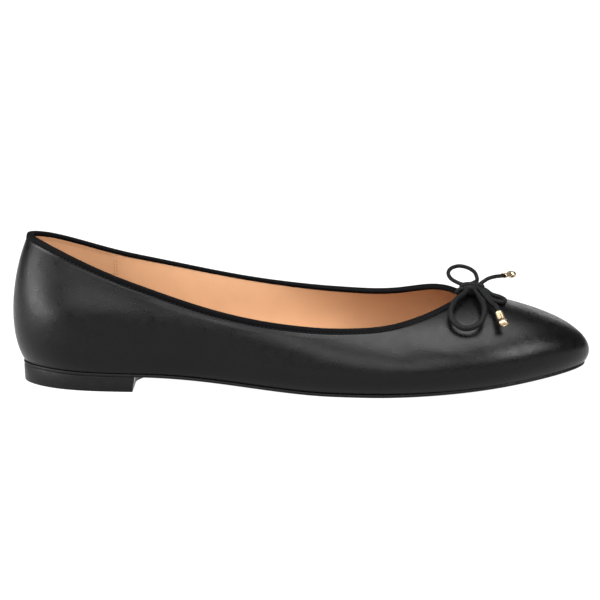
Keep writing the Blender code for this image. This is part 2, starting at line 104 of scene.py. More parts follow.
# The bow's cord: forward, inward and up from the bow's middle, in BOW_UNIT
LATERAL_LOOP = (
    (-0.46, -1.30, 0.02), (-1.30, -3.04, -0.50), (-2.85, -5.65, -1.05), (-3.95, -8.70, -2.05),
    (-4.12, -10.80, -3.20), (-3.50, -12.20, -4.25), (-2.15, -13.00, -5.02), (-0.60, -13.00, -5.02),
    (1.15, -12.20, -4.25), (2.05, -10.40, -3.07), (2.25, -8.26, -2.00), (1.85, -5.43, -1.22),
    (1.25, -2.83, -0.45), (0.85, -1.30, 0.05),
)
MEDIAL_LOOP = (
    (-1.10, 1.32, 0.40), (-2.10, 2.17, 0.60), (-3.40, 3.91, 1.10), (-3.80, 6.30, 1.80), (-2.95, 8.70, 2.32),
    (-1.40, 9.83, 2.48), (0.09, 9.48, 2.23), (1.22, 7.96, 1.80), (1.65, 5.43, 1.28), (1.45, 2.61, 0.86),
    (0.40, 1.32, 0.48),
)
TOE_LOOP = (
    (3.00, 0.42, -0.50), (4.20, 0.45, -1.35), (5.65, 0.10, -1.75), (6.58, -1.15, -2.05), (6.30, -2.60, -2.20),
    (5.15, -3.05, -2.05), (3.80, -2.15, -1.60), (2.90, -0.70, -0.60),
)
LATERAL_END = ((2.00, -1.40, -0.10), (2.78, -3.48, -0.93), (3.90, -5.87, -1.87), (4.62, -7.60, -2.25),
               (4.95, -8.75, -2.85))
MEDIAL_END = ((2.10, 1.40, 0.55), (3.60, 2.75, 1.28), (5.15, 4.35, 1.42), (6.20, 5.80, 1.25),
              (6.95, 6.85, 1.15))

# How the one cord runs on through the knot
CORD_ROUTES = {
    "bow_cord_lateral": (*LATERAL_LOOP, (1.40, 0.05, 0.28), *MEDIAL_END),
    "bow_cord_medial": (*MEDIAL_LOOP, (1.10, -0.05, 0.20), *LATERAL_END),
    "bow_cord_toe": ((1.30, 0.25, 0.10), *TOE_LOOP, (1.30, -0.40, 0.0)),
}
# The cord's girth at the start and end of each route, as a share of its own: a loose loop is fuller
CORD_GIRTH = {"bow_cord_lateral": (1.24, 0.88), "bow_cord_medial": (0.88, 1.20), "bow_cord_toe": (1.15, 1.15)}
GIRTH_CHANGE = (0.55, 0.80)             # where along the route the girth changes, as shares of its length
CORD_NODES = {
    "bow_cord_lateral": ("bow_loop_lateral", "bow_end_medial"),
    "bow_cord_medial": ("bow_loop_medial", "bow_end_lateral"),
    "bow_cord_toe": ("bow_loop_toe",),
}
CORD_STRANDS = 4.0
CORD_PITCH = 1.1                        # crossings of the strands in one cord width

# Rounded ends of a tube: size of each ring and its distance past the end, as shares of the radius
END_SIZES = np.array([1.0, 0.92, 0.70, 0.0])
END_REACH = np.array([0.0, 0.30, 0.55, 0.62])

# The wraps' tail, from the binding to the knot's underside, in metres from the knot's middle
KNOT_TAIL = np.array([
    (-0.0068, -0.0020, -0.0019), (-0.0059, -0.0018, -0.0007), (-0.0046, -0.0016, -0.0003),
    (-0.0030, -0.0014, -0.0012), (0.0000, -0.0013, -0.00145),
])
WRAP_TURNS = 2
WRAP_POINTS = 121
WRAP_HALF_HEIGHT = 0.00145
WRAP_ADVANCE = 0.0024                   # sideways, over all the turns
WRAP_SWAY = 0.0002
WRAP_BACK = 0.375                       # share of the turns that lies outward of the knot's middle
WRAP_RADIUS = 0.00105
WRAP_FLATNESS = 0.78
WRAP_POWER = 0.72

# The cord folded inside the wraps: half sizes past the wraps, across and up, and its drop below the knot's
# middle
CORE_PAST_WRAPS = 0.0004
CORE_HALF_WIDTH = 0.0022
CORE_HALF_HEIGHT = 0.0027
CORE_DROP = 0.0011
CORE_POWER = 0.75
CORE_RINGS = 21
CORE_SIDES = 32
CORE_STRANDS = 5.0

# Outline of a metal tip: distance from its neck in TIP_LENGTH, and radius in TIP_DIAMETER
TIP_OUTLINE = np.array([
    (0.060, 0.000), (0.060, 0.238), (0.000, 0.280), (0.000, 0.354), (0.025, 0.396), (0.070, 0.410),
    (0.160, 0.405), (0.300, 0.382), (0.450, 0.363), (0.590, 0.354), (0.630, 0.363), (0.670, 0.410),
    (0.720, 0.466), (0.790, 0.498), (0.860, 0.500), (0.920, 0.475), (0.965, 0.410), (0.985, 0.317),
    (0.988, 0.186), (0.965, 0.140), (0.960, 0.075), (0.985, 0.056), (0.990, 0.000),
])
FLUTES = 8
FLUTE_DEPTH = 0.20
FLUTE_START, FLUTE_END = 0.05, 0.66
FLUTE_FADE = 0.08
FLUTE_RADIUS, FLUTE_EDGE = 0.28, 0.05   # flutes start past this radius and are full one edge further out
BEAD_START, BEAD_SPAN = 0.55, 0.25      # where the neck's flatness gives way to the bead's
TIP_RINGS = 110
TIP_GAP = SEAM_GAP * 0.2

# Soft troughs and ridges of the leather: section and share up the wall at each end, half width and depth in
# metres. A negative depth is a trough.
CREASES = (
    (1.30, 0.55, 3.15, 0.83, 0.0075, 0.00075),
    (2.70, 0.85, 4.35, 0.70, 0.0075, 0.00060),
    (2.55, 0.20, 2.35, 0.90, 0.0050, -0.00022),
    (2.90, 0.10, 2.75, 0.95, 0.0070, 0.00025),
    (3.20, 0.62, 4.40, 0.55, 0.0050, -0.00030),
    (4.30, 0.25, 5.10, 0.55, 0.0060, -0.00022),
    (5.05, 0.90, 5.55, 0.45, 0.0035, -0.00025),
    (5.45, 0.88, 5.90, 0.50, 0.0030, 0.00018),
    (5.95, 0.80, 6.35, 0.42, 0.0040, -0.00022),
    (6.80, 0.62, 8.00, 0.52, 0.0050, 0.00018),
    (10.00, 0.78, 9.60, 0.42, 0.0040, -0.00022),
    (10.90, 0.85, 10.50, 0.48, 0.0038, -0.00025),
    (11.70, 0.80, 12.60, 0.50, 0.0060, -0.00028),
    (13.30, 0.15, 13.10, 0.90, 0.0070, 0.00025),
    (13.70, 0.20, 13.90, 0.90, 0.0050, -0.00022),
)
CREASE_POINTS = 15
CREASE_FADE = 0.7
FOOT_FADE, EDGE_FADE = 0.08, 0.06       # shares of the wall over which the creases die out

# Collar: up off the edge and out of the wall's middle, in metres, where the leather tucks under the binding
LEATHER_TUCK = ((0.0007, 0.0006), (0.0008, 0.0004), (0.0007, 0.0001))
# Share of the lip's height, and depth from the wall's middle as a share of the wall
LINING_LIP = ((0.5, 0.50), (0.9, 0.48), (1.0, 0.38), (1.0, 0.20), (0.5, 0.10))
LINING_GAP = 0.00003
LAP_SPAN = 0.0005
BINDING_SQUARENESS = 0.62
BINDING_TURN = 1.6                      # how fast the section passes from its outer to its inner side
PRESS_SPAN, PRESS_TURN = 0.0005, 3.0    # how fast the pressed-in edge starts, outwards and downwards
EDGE_SHARE = 10 / 11                    # share up the wall from which the way up off the edge is taken

# Rims as rings from the lowest to the highest: share of the slab's height, and how far the ring is drawn in
SOCK_RIM = ((0.0, 0.0), (0.85, 0.0), (0.96, 0.00010), (1.0, 0.00035))
OUTSOLE_RIM = ((0.0, 0.00050), (0.12, 0.00022), (0.32, 0.00005), (0.55, 0.0), (0.85, 0.00002), (1.0, 0.00015))
HEEL_RIM = ((0.0, 0.00035), (0.03, 0.00012), (0.08, 0.0), (0.90, 0.0), (1.0, 0.00020))
SOCK_GAP = 0.00006
HEEL_GAP = 0.00004
HEEL_INSET = 0.15                       # of the sole's bevel, where the heel's top meets it
LOW_WALL = 0.42                         # share of the wall that the insole reaches
REVEAL_START, REVEAL_SPAN = 0.02, 0.08  # where the sole's edge starts to show less, and over what length

# The lining's seam: shares up the wall, two rows beside the lap, and sections to look for it in on each side
SEAM_LOW, SEAM_HIGH = 0.14, 0.97
SEAM_RISE = 0.92                        # the wall's height there, as a share of the collar's
SEAM_ROWS = (0.0003, 0.0014)
SEAM_SIDES = {"outer": (1.0, 3.0), "inner": (15.0, 13.0)}
SEAM_TRIES = 200
SEAM_STITCH = 0.65                      # length of its stitches, as a share of the collar's
THREAD_SHADE = 0.45                     # its thread's colour, as a share of the lining's
THREAD_RINGS, THREAD_SIDES = 5, 6
THREAD_SINK = 0.00005                   # how far the collar's stitches sink into the binding
THREAD_PRESS = 0.9                      # and how much of its pressed-in edge they follow
THREAD_DEPTH = 0.00002                  # how far inside the wall's face the lining's stitches run

# Leathers: roughness, size and height of the grain in metres, share of the colour left where darkest, gloss
LEATHERS = {
    "black_leather": (0.30, 0.0008, 0.00008, 0.80, 0.16),
    "black_binding": (0.65, 0.0006, 0.000048, 0.80, 0.04),
    "tan_lining": (0.55, 0.0009, 0.000024, 0.90, 0.30),
    "tan_sock": (0.50, 0.0009, 0.000032, 0.88, 0.30),
}
LEATHER_DRIFT, LEATHER_SHEEN, LEATHER_SWELL = 0.018, 0.0035, 0.009
SWELL_HEIGHT = 0.00012
RUBBER_ROUGHNESS, RUBBER_DUST = 0.40, 1.6
SCUFF_SIZE = 0.0012
BRAID_HEIGHT = 0.00010

# Fineness
SECTION_STEPS = 14
WALL_SHARES = 60
INNER_SHARES = 24
SLAB_RIBS = 46
ACROSS = 18
BINDING_SIDES = 20
CORD_SIDES = 14
CORD_STEP = 0.0006
TIP_SIDES = 64
CURVE_STEPS = 24
SHARP_DEGREES = 40.0
MERGE = 0.000001
SLAB_MERGE = 0.00001

# Camera, fitted to the photograph
CAMERA_AZIMUTH = math.radians(-0.5)
CAMERA_ELEVATION = math.radians(11.5)
CAMERA_DISTANCE = 1.0
CAMERA_TARGET = (-0.000735, 0.0, 0.0358)
METRES_PER_PIXEL = 0.0004427
PICTURE_WIDTH = 600
SENSOR = 36.0
NEAR_CLIP = 0.01
FLOOR_REACH = 6.0
FLOOR_LINES = 9
SUN_SPREAD = math.radians(70.0)

# Soft boxes, named as their power in the sizes: place, and width and height, in metres
SOFT_BOXES = {
    "vamp_box": ((0.14, -0.24, 0.92), (0.95, 0.80)),
    "front_box": ((-0.16, -1.14, 0.56), (1.60, 0.54)),
    "heel_low": ((-0.896, -0.317, 0.08), (0.54, 0.11)),
    "heel_high": ((-0.95, -0.03, 0.19), (0.27, 0.17)),
    "rear_box": ((-0.86, -0.14, 0.66), (0.60, 0.50)),
    "toe_box": ((0.71, -0.46, 0.43), (0.32, 0.30)),
    "rim_box": ((0.24, 0.897, 0.23), (0.50, 0.20)),
}


def smooth_step(share):
    """0 up to 1 with level ends: share squared times (3 minus twice the share)."""
    share = np.clip(share, 0.0, 1.0)
    return share * share * (3.0 - 2.0 * share)


def seat_height(x):
    """Top of the outsole: heel height faded out along the waist, plus the seat's rise and the toe spring."""
    along = np.asarray(x) / LENGTH
    heel = HEEL_HEIGHT * (1.0 - smooth_step((along - WAIST_START) / (TREAD_START - WAIST_START)))
    back = SEAT_RISE * np.clip(1.0 - along / WAIST_START, 0.0, None) ** RISE_BEND
    toe = TOE_SPRING * (np.clip(along - TREAD_END, 0.0, None) / (1.0 - TREAD_END)) ** SPRING_BEND
    return SOLE_THICKNESS + heel + back + toe


def closed_spline(knots, values, at):
    """Closed cubic spline: second derivatives from a ring of three-term equations, then the usual cubic."""
    count = len(values)
    step = np.diff(knots)[:, None]
    rise = (np.roll(values, -1, axis=0) - values) / step
    before = np.roll(step, 1, axis=0)
    ring = np.arange(count)
    system = np.zeros((count, count))
    system[ring, (ring - 1) % count] = before[:, 0]
    system[ring, ring] = 2.0 * (before + step)[:, 0]
    system[ring, (ring + 1) % count] = step[:, 0]
    bend = np.linalg.solve(system, 6.0 * (rise - np.roll(rise, 1, axis=0)))
    row = np.clip(np.searchsorted(knots, at, side="right") - 1, 0, count - 1)
    after = (row + 1) % count
    width = step[row]
    right = (np.asarray(at) - knots[row])[:, None] / width
    left = 1.0 - right
    return (
        left * values[row]
        + right * values[after]
        + width ** 2 / 6.0 * ((left ** 3 - left) * bend[row] + (right ** 3 - right) * bend[after])
    )


def blend(first, second, start, end, at):
    """Straight-line blend from first at start to second at end."""
    return (first * (end - at) + second * (at - start)) / (end - start)


def open_spline(rows, step):
    """Points about step apart on the smooth curve through the rows (centripetal Catmull-Rom)."""
    rows = np.asarray(rows, dtype=float)
    ends = np.concatenate([[2.0 * rows[0] - rows[1]], rows, [2.0 * rows[-1] - rows[-2]]])
    knots = np.concatenate([[0.0], np.cumsum(np.sqrt(np.linalg.norm(np.diff(ends, axis=0), axis=1)))])
    fine = []
    for k in range(1, len(ends) - 2):
        t = np.linspace(knots[k], knots[k + 1], CURVE_STEPS, endpoint=False)[:, None]
        near = [blend(ends[j], ends[j + 1], knots[j], knots[j + 1], t) for j in (k - 1, k, k + 1)]
        wide = [blend(near[j], near[j + 1], knots[k - 1 + j], knots[k + 1 + j], t) for j in (0, 1)]
        fine.append(blend(wide[0], wide[1], knots[k], knots[k + 1], t))
    fine = np.concatenate([*fine, rows[-1:]])
    run = np.concatenate([[0.0], np.cumsum(np.linalg.norm(np.diff(fine, axis=0), axis=1))])
    at = np.linspace(0.0, run[-1], round(run[-1] / step) + 1)
    return np.stack([np.interp(at, run, fine[:, axis]) for axis in range(3)], axis=1)


def squared(wave, power):
    """A sine or cosine raised to a power with its sign kept, which squares off its curve below 1."""
    return np.sign(wave) * np.abs(wave) ** power


def outward(loop):
    """Level unit normals of an anticlockwise loop: its direction turned a quarter to the right."""
    along = np.roll(loop, -1, axis=0) - np.roll(loop, 1, axis=0)
    normal = np.stack([along[:, 1], -along[:, 0], np.zeros(len(loop))], axis=1)
    return normal / np.linalg.norm(normal, axis=1, keepdims=True)


def unit(vectors):
    """Vectors scaled to length 1."""
    return vectors / np.linalg.norm(vectors, axis=-1, keepdims=True)


def wall_surface(count, shares):
    """The upper's outer face: for each of count sections, a cubic Bezier from the foot up to the edge."""
    table = WALL_ROWS * [LENGTH, BALL_WIDTH, LENGTH, BALL_WIDTH, COLLAR_HEIGHT, 1.0, 1.0, 1.0, 1.0]
    apart = np.roll(table, -1, axis=0) - table
    chord = np.hypot(apart[:, 0], apart[:, 1]) + np.hypot(apart[:, 2], apart[:, 3])
    knots = np.concatenate([[0.0], np.cumsum(chord)])
    at = np.interp(np.arange(count) * len(table) / count, np.arange(len(table) + 1), knots)
    columns = closed_spline(knots, table, at).T
    foot_x, foot_y, edge_x, edge_y, edge_z, low_out, low_up, top_out, top_down = columns
    foot = np.stack([foot_x, foot_y, seat_height(foot_x) + SEAM_GAP], axis=1)
    edge = np.stack([edge_x, edge_y, seat_height(edge_x) + edge_z], axis=1)
    reach = np.linalg.norm(edge - foot, axis=1, keepdims=True)
    up = np.array([0.0, 0.0, 1.0])
    low = foot + reach * (low_out[:, None] * outward(foot) + low_up[:, None] * up)
    high = edge + reach * (top_out[:, None] * outward(edge) - top_down[:, None] * up)
    t = np.asarray(shares)[None, :, None]
    s = 1.0 - t
    foot, low, high, edge = (points[:, None, :] for points in (foot, low, high, edge))
    return s ** 3 * foot + 3.0 * s * s * t * low + 3.0 * s * t * t * high + t ** 3 * edge


def wall_normals(surface):
    """Unit normals out of the shoe: the step round the wall crossed with the step up it."""
    around = np.roll(surface, -1, axis=0) - np.roll(surface, 1, axis=0)
    return unit(np.cross(around, np.gradient(surface, axis=1)))


ROUGH_WALL = wall_surface(len(WALL_ROWS) * 5, np.linspace(0.0, 1.0, 40))
CENTRE = (ROUGH_WALL.min(axis=(0, 1)) + ROUGH_WALL.max(axis=(0, 1))) / 2.0 * [1.0, 1.0, 0.0]
SECTIONS = len(WALL_ROWS) * SECTION_STEPS
WALL = wall_surface(SECTIONS, np.linspace(0.0, 1.0, WALL_SHARES + 1)) - CENTRE
NORMALS = wall_normals(WALL)


def seat_at(x):
    """Seat height at x in the row's own frame."""
    return seat_height(np.asarray(x) + CENTRE[0])


def wall_at(section, share, depth=0.0):
    """Points inside the wall, depth below its outer face, by straight-line blend on the wall's fine grid."""
    section, share = np.broadcast_arrays(section, share)
    u, v = section * SECTION_STEPS, share * WALL_SHARES
    i = np.floor(u).astype(int)
    k = np.clip(np.floor(v).astype(int), 0, WALL_SHARES - 1)
    du = (u - i)[..., None]
    dv = (v - k)[..., None]
    inside = WALL - NORMALS * depth
    low, high = i % SECTIONS, (i + 1) % SECTIONS
    return (
        (1 - du) * (1 - dv) * inside[low, k]
        + du * (1 - dv) * inside[high, k]
        + (1 - du) * dv * inside[low, k + 1]
        + du * dv * inside[high, k + 1]
    )


def inner_face(depth):
    """The wall's face at a depth, from the edge down to the foot."""
    section = np.arange(SECTIONS)[:, None] / SECTION_STEPS
    return wall_at(section, np.linspace(1.0, 0.0, INNER_SHARES + 1), depth)


def edge_frames():
    """For each section at the collar: the wall's middle, the way out of the shoe and the way up the edge."""
    low = round(WALL_SHARES * EDGE_SHARE)
    middle = WALL[:, -1] - NORMALS[:, -1] * UPPER_WALL / 2.0
    below = WALL[:, low] - NORMALS[:, low] * UPPER_WALL / 2.0
    rise = unit(middle - below)
    return middle, NORMALS[:, -1], rise


def faces_of(rows, columns, wrap_rows, wrap_columns):
    """Corner numbers of a grid's quads, with either direction joined end to end where it wraps."""
    i = np.arange(rows if wrap_rows else rows - 1)
    k = np.arange(columns if wrap_columns else columns - 1)
    i, k = np.meshgrid(i, k, indexing="ij")
    j, m = (i + 1) % rows, (k + 1) % columns
    quads = np.stack([i * columns + k, j * columns + k, j * columns + m, i * columns + m], axis=-1)
    return quads.reshape(-1, 4)


def add_piece(name, points, faces, finish, slot, uv=None, caps=(), merge=0.0, nodes=()):
    """Closed mesh piece in the row's frame, its doubles merged and its faces turned outwards."""
    mesh = bpy.data.meshes.new(name)
    mesh.from_pydata(points.reshape(-1, 3).tolist(), [], [*faces.tolist(), *caps])
    if uv is not None:
        layer = mesh.uv_layers.new(name="UVMap")
        corners = np.empty(len(mesh.loops), dtype=np.int32)
        mesh.loops.foreach_get("vertex_index", corners)
        layer.data.foreach_set("uv", uv.reshape(-1, 2)[corners].ravel())
    tidy = bmesh.new()
    tidy.from_mesh(mesh)
    if merge:
        bmesh.ops.remove_doubles(tidy, verts=tidy.verts, dist=merge)
    bmesh.ops.recalc_face_normals(tidy, faces=tidy.faces)
    tidy.to_mesh(mesh)
    tidy.free()
    mesh.shade_smooth()
    mesh.set_sharp_from_angle(angle=math.radians(SHARP_DEGREES))
    mesh.materials.append(finish)
    thing = bpy.data.objects.new(name, mesh)
    bpy.context.scene.collection.objects.link(thing)
    if nodes:
        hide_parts(*nodes)
    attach(thing, "root")
    return thing


def add_grid(name, points, finish, slot, ring=False, **settings):
    """Piece from a grid of points that wraps along its columns, and along its rows too where it is a ring."""
    return add_piece(name, points, faces_of(*points.shape[:2], ring, True), finish, slot, **settings)


class Finish:
    """A Principled material and the few kinds of nodes that this shoe's finishes use."""

    def __init__(self, name, colour, roughness, **sockets):
        self.material = bpy.data.materials.new(name)
        self.material.use_nodes = True
        self.tree = self.material.node_tree
        self.shader = self.tree.nodes["Principled BSDF"]
        self.shader.inputs["Base Color"].default_value = (*colour, 1.0)
        self.shader.inputs["Roughness"].default_value = roughness
        for socket, value in sockets.items():
            self.shader.inputs[socket.replace("_", " ").title().replace("Ior", "IOR")].default_value = value
        self.place = self.add("ShaderNodeTexCoord").outputs["Object"]
        self.normal = None

    def add(self, kind, inputs=(), **settings):
        """Node of a kind, with its settings and its inputs as numbers or links."""
        node = self.tree.nodes.new(kind)
        for setting, value in settings.items():
            setattr(node, setting, value)
        for socket, value in dict(inputs).items():
            if isinstance(value, bpy.types.NodeSocket):
                self.tree.links.new(value, node.inputs[socket])
            else:
                node.inputs[socket].default_value = value
        return node

    def noise(self, size, detail=2.0, roughness=0.5, stretch=None):
        """Soft noise with blotches about size across, drawn out by stretch along x, y and z."""
        place = self.place
        if stretch:
            place = self.add("ShaderNodeMapping", {"Vector": place, "Scale": stretch}).outputs["Vector"]
        inputs = {"Vector": place, "Scale": 1.0 / size, "Detail": detail, "Roughness": roughness}
        return self.add("ShaderNodeTexNoise", inputs).outputs["Fac"]

    def spread(self, value, low, high, start=0.3, end=0.7):
        """Map start..end to low..high."""
        inputs = {"Value": value, "From Min": start, "From Max": end, "To Min": low, "To Max": high}
        return self.add("ShaderNodeMapRange", inputs).outputs["Result"]

    def math(self, operation, first, second=0.0):
        """The operation's result on the two values."""
        return self.add("ShaderNodeMath", {0: first, 1: second}, operation=operation).outputs[0]

    def tint(self, share, first, second):
        """Base colour blended from first to second."""
        mix = self.add("ShaderNodeMix", data_type="RGBA")
        self.tree.links.new(share, mix.inputs["Factor"])
        colour = [socket for socket in mix.outputs if socket.type == "RGBA"][0]
        colours = [socket for socket in mix.inputs if socket.type == "RGBA"]
        colours[0].default_value = (*first, 1.0)
        colours[1].default_value = (*second, 1.0)
        self.tree.links.new(colour, self.shader.inputs["Base Color"])

    def rough(self, value):
        """Roughness from a value."""
        self.tree.links.new(value, self.shader.inputs["Roughness"])

    def bump(self, height, distance, strength=1.0):
        """Relief of a height from 0 to 1 over a distance in metres, on top of the relief so far."""
        inputs = {"Height": height, "Distance": distance, "Strength": strength}
        if self.normal:
            inputs["Normal"] = self.normal
        self.normal = self.add("ShaderNodeBump", inputs).outputs["Normal"]
        self.tree.links.new(self.normal, self.shader.inputs["Normal"])


def leather_finish(name, colour):
    """Leather: a colour that drifts a little, soft unevenness, a fine mottled grain and broken gloss."""
    roughness, grain, relief, fade, gloss = LEATHERS[name]
    finish = Finish(name, colour, roughness, specular_ior_level=gloss)
    drift = finish.noise(LEATHER_DRIFT, detail=4.0)
    finish.tint(finish.spread(drift, 0.0, 1.0), [v * fade for v in colour], colour)
    sheen = finish.noise(LEATHER_SHEEN, detail=5.0, roughness=0.6)
    finish.rough(finish.spread(sheen, roughness - 0.05, roughness + 0.06))
    finish.bump(finish.noise(LEATHER_SWELL, detail=2.0), SWELL_HEIGHT)
    finish.bump(finish.noise(grain, detail=4.0, roughness=0.6), relief)
    return finish.material


def rubber_finish(name, colour):
    """Sole and heel: smooth satin with fine lengthwise scuffs and a little dust in the gloss."""
    finish = Finish(name, colour, RUBBER_ROUGHNESS, specular_ior_level=0.12)
    scuff = finish.noise(SCUFF_SIZE, detail=5.0, stretch=(0.25, 1.0, 1.6))
    finish.tint(finish.spread(scuff, 0.0, 1.0, 0.45, 0.75), colour, [v * RUBBER_DUST for v in colour])
    gloss = finish.noise(0.004, detail=4.0)
    finish.rough(finish.spread(gloss, RUBBER_ROUGHNESS - 0.05, RUBBER_ROUGHNESS + 0.08))
    finish.bump(scuff, 0.00003)
    finish.bump(finish.noise(0.0004, detail=2.0), 0.00001)
    return finish.material


def cord_finish(name, colour):
    """Cord: two sets of strands that cross round it, the product of two slanted sine waves on its UV map,
    coloured darker in the grooves (painted shade) and lighter on the crests (painted highlight).
    """
    finish = Finish(name, colour, 0.62, specular_ior_level=0.12)
    uv = finish.add("ShaderNodeTexCoord").outputs["UV"]
    parts = finish.add("ShaderNodeSeparateXYZ", {"Vector": uv})
    round_it = finish.math("MULTIPLY", parts.outputs["X"], CORD_STRANDS * 2.0 * math.pi)
    along = finish.math("MULTIPLY", parts.outputs["Y"], CORD_PITCH * 2.0 * math.pi)
    right = finish.math("SINE", finish.math("ADD", round_it, along))
    left = finish.math("SINE", finish.math("SUBTRACT", round_it, along))
    braid_relief_and_shade = finish.spread(finish.math("MULTIPLY", right, left), 0.0, 1.0, -1.0, 1.0)
    # Painted shade and highlight: the colour is darkest in the grooves between the strands and lightest on
    # their crests
    finish.tint(braid_relief_and_shade, [v * 0.55 for v in colour], [v * 1.35 for v in colour])
    finish.rough(finish.spread(finish.noise(0.0006, detail=3.0), 0.55, 0.72))
    finish.bump(braid_relief_and_shade, BRAID_HEIGHT)
    finish.bump(finish.noise(0.00015, detail=3.0), 0.00002)
    return finish.material


def metal_finish(name, colour):
    """Plated metal tip: pale gold with fine lengthwise brushing and a few duller spots."""
    finish = Finish(name, colour, 0.30, metallic=1.0)
    spots = finish.noise(0.0012, detail=3.0)
    finish.tint(finish.spread(spots, 0.0, 1.0), [v * 0.86 for v in colour], colour)
    finish.rough(finish.spread(spots, 0.22, 0.32))
    finish.bump(finish.noise(0.0003, detail=2.0, stretch=(1.0, 1.0, 0.3)), 0.000006)
    return finish.material


def thread_finish(name, colour):
    """Sewing thread: matt, with a fine twisted relief and painted shade, darker where the relief is low."""
    finish = Finish(name, colour, 0.7, specular_ior_level=0.2)
    twist_relief_and_shade = finish.noise(0.0002, detail=2.0)
    # Painted shade: the thread's colour is darker where its relief is low
    finish.tint(finish.spread(twist_relief_and_shade, 0.0, 1.0), [v * 0.7 for v in colour], colour)
    finish.bump(twist_relief_and_shade, 0.00003)
    return finish.material


def crease_height():
    """Height of the creases over the wall: a bell curve of the distance to each crease's own line, summed.

    The line runs between two points of the wall, and its depth fades towards both of its ends.
    """
    total = np.zeros(WALL.shape[:2])
    steps = np.linspace(0.0, 1.0, CREASE_POINTS)
    strength = np.sin(math.pi * (0.1 + 0.8 * steps)) ** CREASE_FADE
    for start_u, start_v, end_u, end_v, width, depth in CREASES:
        line = wall_at(start_u + (end_u - start_u) * steps, start_v + (end_v - start_v) * steps)
        apart = np.linalg.norm(WALL[:, :, None, :] - line, axis=3)
        total += depth * (np.exp(-(apart / width) ** 2) * strength).max(axis=2)
    share = np.linspace(0.0, 1.0, WALL_SHARES + 1)
    return total * smooth_step(share / FOOT_FADE) * smooth_step((1.0 - share) / EDGE_FADE)


def build_upper(sizes, colours):
    """The leather: the wall's outer face with its creases, and a face one leather's thickness inside it."""
    outer = WALL + NORMALS * (crease_height() * sizes.crease)[:, :, None]
    middle, out, rise = edge_frames()
    tuck = [middle + rise * up + out * off for up, off in LEATHER_TUCK]
    points = np.concatenate([outer, np.stack(tuck, axis=1), inner_face(sizes.leather)], axis=1)
    finish = leather_finish("black_leather", colours.leather)
    add_grid("upper_leather", points, finish, "upper", ring=True, nodes=("upper",))


def build_lining(sizes, colours):
    """The lining: a thin shell inside the leather, its front part lapped over the heel part, with a lip that
    stands up behind the binding."""
    lap = smooth_step((WALL[:, :, 0] - sizes.seam_place) / LAP_SPAN) * sizes.lap
    face = WALL - NORMALS * (UPPER_WALL + lap - sizes.lap)[:, :, None]
    middle, out, rise = edge_frames()
    lip = [middle + rise * sizes.lip * up - out * (UPPER_WALL * depth) for up, depth in LINING_LIP]
    points = np.concatenate([face, np.stack(lip, axis=1), inner_face(sizes.leather + LINING_GAP)], axis=1)
    add_grid("lining", points, leather_finish("tan_lining", colours.lining), "insole", ring=True)


def build_binding(sizes, colours):
    """The binding: a superellipse carried round the collar, its inner side shorter than its outer one."""
    middle, out, rise = edge_frames()
    middle = middle + rise * (SEAM_GAP + BINDING_HEIGHT / 2.0)
    angle = (np.arange(BINDING_SIDES) + 0.5) * 2.0 * math.pi / BINDING_SIDES
    across = BINDING_THICKNESS / 2.0 * squared(np.cos(angle), BINDING_SQUARENESS)
    upward = BINDING_HEIGHT / 2.0 * squared(np.sin(angle), BINDING_SQUARENESS)
    inner = smooth_step(-across / (BINDING_THICKNESS / 2.0) * BINDING_TURN)
    press = smooth_step(across / PRESS_SPAN) * smooth_step(-upward / BINDING_HEIGHT * PRESS_TURN)
    across = across - sizes.binding_press * press
    upward = upward + inner * sizes.binding_cut * (BINDING_HEIGHT / 2.0 - upward) / BINDING_HEIGHT
    across, upward = across[None, :, None], upward[None, :, None]
    points = middle[:, None, :] + across * out[:, None, :] + upward * rise[:, None, :]
    finish = leather_finish("black_binding", colours.binding)
    add_grid("collar_binding", points, finish, "binding", ring=True, nodes=("topline_binding",))


def loop_stations(loop, pitch):
    """Places pitch apart round a closed loop, as real section numbers."""
    ring = np.concatenate([loop, loop[:1]])
    run = np.concatenate([[0.0], np.cumsum(np.linalg.norm(np.diff(ring, axis=0), axis=1))])
    count = round(run[-1] / pitch)
    return np.interp(np.arange(count) * run[-1] / count, run, np.arange(len(ring)))


def on_loop(values, stations):
    """Rows of a closed loop of values at real section numbers, by straight-line blend."""
    low = np.floor(stations).astype(int)
    share = (stations - low)[:, None]
    return (1.0 - share) * values[low % len(values)] + share * values[(low + 1) % len(values)]


def stitch_row(name, centres, along, out, length, radius, finish, slot):
    """A row of stitches, each a capsule whose section is a circle that narrows to a point at both ends."""
    along, out = unit(along), unit(out)
    side = np.cross(along, out)
    t = np.linspace(-1.0, 1.0, THREAD_RINGS)
    angle = np.arange(THREAD_SIDES) * 2.0 * math.pi / THREAD_SIDES
    reach = np.sqrt(np.clip(1.0 - t ** 4, 0.0, 1.0))
    local = np.stack([
        np.repeat(t[:, None] * length / 2.0, len(angle), axis=1),
        radius * reach[:, None] * np.cos(angle),
        radius * reach[:, None] * np.sin(angle),
    ], axis=-1).reshape(-1, 3)
    axes = np.stack([along, out, side], axis=1)
    points = centres[:, None, :] + np.einsum("pk,skx->spx", local, axes)
    one = faces_of(len(t), len(angle), False, True)
    faces = (np.arange(len(centres))[:, None, None] * len(local) + one).reshape(-1, 4)
    add_piece(name, points, faces, finish, slot, merge=MERGE)


def sew_collar(sizes, colours):
    """Stitches along the binding's lower edge, outside."""
    middle, out, rise = edge_frames()
    sunk = THREAD_SINK + sizes.binding_press * THREAD_PRESS
    seat = middle + rise * (SEAM_GAP + sizes.stitch_up) + out * (BINDING_THICKNESS / 2.0 - sunk)
    stations = loop_stations(seat, sizes.stitch_pitch)
    along = np.roll(seat, -1, axis=0) - np.roll(seat, 1, axis=0)
    finish = thread_finish("black_thread", colours.thread)
    stitch_row("collar_stitches", on_loop(seat, stations), on_loop(along, stations), on_loop(out, stations),
               sizes.stitch_length, sizes.stitch_radius, finish, "binding")


